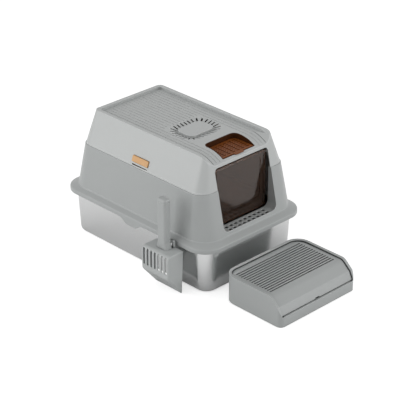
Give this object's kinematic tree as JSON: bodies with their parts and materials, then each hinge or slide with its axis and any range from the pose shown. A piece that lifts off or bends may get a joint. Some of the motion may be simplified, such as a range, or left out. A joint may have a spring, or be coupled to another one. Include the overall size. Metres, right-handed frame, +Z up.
{
  "type": "litter tray",
  "caption": "Covered litter tray: steel pan under a two-part hooded cover with a swing flap, a roof hatch, side clips, a hung scoop and a slotted step.",
  "frame": {"origin": "centre of the steel pan's underside, on the floor", "axes": "+Z up, -Y out of the entrance, +X to the right seen from the rear; the scoop hangs on the -X side"},
  "size_m": [0.4648, 0.837, 0.3874],
  "materials": {
    "steel": "bright drawn stainless steel, soft mirror",
    "cover_grey": "fine satin",
    "lid_grey": "fine satin, a little lighter than the cover",
    "clip_tan": "satin",
    "smoke_clear": "smoked translucent, glossy",
    "amber": "amber tint, glossy",
    "pin_steel": "turned",
    "foot_rubber": "matt"
  },
  "bodies": {
    "pan": {"steel_pan": "steel"},
    "cover": {"lower_cover": "cover_grey", "scoop_hanger": "cover_grey"},
    "lid": {"lid": "lid_grey", "hatch_well": "amber", "flap_rod": "pin_steel", "rod_bracket_left": "lid_grey", "rod_bracket_right": "lid_grey", "bracket_screws": "pin_steel", "clip_pin_left": "pin_steel", "clip_pin_right": "pin_steel"},
    "flap": {"flap": "smoke_clear"},
    "hatch": {"roof_hatch": "amber"},
    "clip_left": {"clip_left": "clip_tan"},
    "clip_right": {"clip_right": "clip_tan"},
    "scoop": {"scoop_basket": "cover_grey", "scoop_handle": "cover_grey", "scoop_end_cap": "cover_grey"},
    "step": {"step_tray": "cover_grey", "step_feet": "foot_rubber"},
    "step_lid": {"step_lid": "cover_grey"}
  },
  "joints": [
    {"name": "cover_lift", "type": "slide", "parent": "pan", "child": "cover", "axis": [0, 0, 1], "range_m": [0, 0.08]},
    {"name": "lid_lift", "type": "slide", "parent": "cover", "child": "lid", "axis": [0, 0, 1], "range_m": [0, 0.12]},
    {"name": "flap_swing", "type": "hinge", "parent": "lid", "child": "flap", "pos_m": [0, -0.2303, 0.339], "axis": [1, 0, 0], "range_deg": [-75, 75]},
    {"name": "hatch_hinge", "type": "hinge", "parent": "lid", "child": "hatch", "pos_m": [0, -0.16571, 0.36277], "axis": [-1, 0, 0], "range_deg": [0, 80]},
    {"name": "clip_left_press", "type": "hinge", "parent": "lid", "child": "clip_left", "pos_m": [-0.1534, 0, 0.30911], "axis": [0, 1, 0], "range_deg": [0, 6]},
    {"name": "clip_right_press", "type": "hinge", "parent": "lid", "child": "clip_right", "pos_m": [0.1534, 0, 0.30911], "axis": [0, -1, 0], "range_deg": [0, 6]},
    {"name": "scoop_lift", "type": "slide", "parent": "cover", "child": "scoop", "axis": [0, 0, 1], "range_m": [0, 0.0053]},
    {"name": "step_slide", "type": "slide", "parent": "pan", "child": "step", "axis": [0, -1, 0], "range_m": [0, 0.1]},
    {"name": "step_lid_lift", "type": "slide", "parent": "step", "child": "step_lid", "axis": [0, 0, 1], "range_m": [0, 0.06]}
  ]
}
